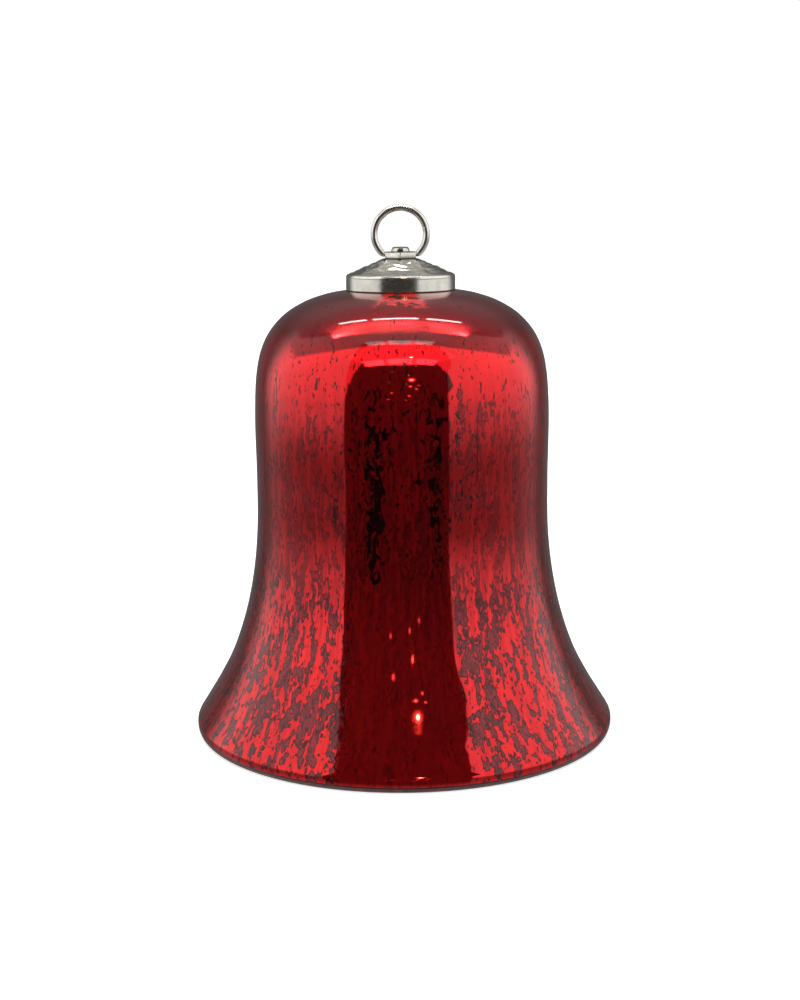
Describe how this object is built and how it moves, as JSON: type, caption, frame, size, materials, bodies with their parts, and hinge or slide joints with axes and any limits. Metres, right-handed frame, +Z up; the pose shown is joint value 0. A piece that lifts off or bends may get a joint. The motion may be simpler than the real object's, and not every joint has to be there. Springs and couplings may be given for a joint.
{
  "type": "bell ornament",
  "caption": "Flared glass bell with a pressed metal cap, a folding hanging ring and an inner clapper that swings and turns to strike the glass.",
  "frame": {"origin": "centre of the glass lip's flat foot, on the surface the bell stands on", "axes": "+Z up along the bell's axis of revolution, -Y the front, +X to the right along the ring's hinge line"},
  "size_m": [0.184, 0.184, 0.2286],
  "materials": {
    "silvered_red_glass": "gloss, silvered inside and mottled",
    "gasket_rubber": "matt",
    "plated_cap": "plated, lightly hammered and scratched",
    "plated_fittings": "plated, worn satin",
    "plated_ring": "bright plated",
    "zinc_steel": "zinc plated",
    "clapper_metal": "plated, satin"
  },
  "bodies": {
    "bell": {"bell_glass": "silvered_red_glass", "neck_gasket": "gasket_rubber", "cap": "plated_cap", "hub": "plated_fittings", "hanger_screw": "plated_fittings", "inner_gasket": "gasket_rubber", "spreader_plate": "zinc_steel", "lock_washer": "zinc_steel", "clamp_nut": "zinc_steel", "swivel_cup": "zinc_steel"},
    "ring": {"hanging_ring": "plated_ring"},
    "swivel": {"swivel_eye": "clapper_metal"},
    "clapper": {"clapper_rod": "clapper_metal", "clapper_ferrule": "clapper_metal", "clapper_ball": "clapper_metal", "clapper_nut": "clapper_metal"}
  },
  "joints": [
    {"name": "ring_fold", "type": "hinge", "parent": "bell", "child": "ring", "pos_m": [0, 0, 0.20745], "axis": [1, 0, 0], "range_deg": [-100, 100]},
    {"name": "clapper_turn", "type": "hinge", "parent": "bell", "child": "swivel", "pos_m": [0, 0, 0.17], "axis": [0, 0, 1], "continuous": true},
    {"name": "clapper_swing", "type": "hinge", "parent": "swivel", "child": "clapper", "pos_m": [0, 0, 0.1639], "axis": [0, 1, 0], "range_deg": [-25.4, 25.4]}
  ]
}
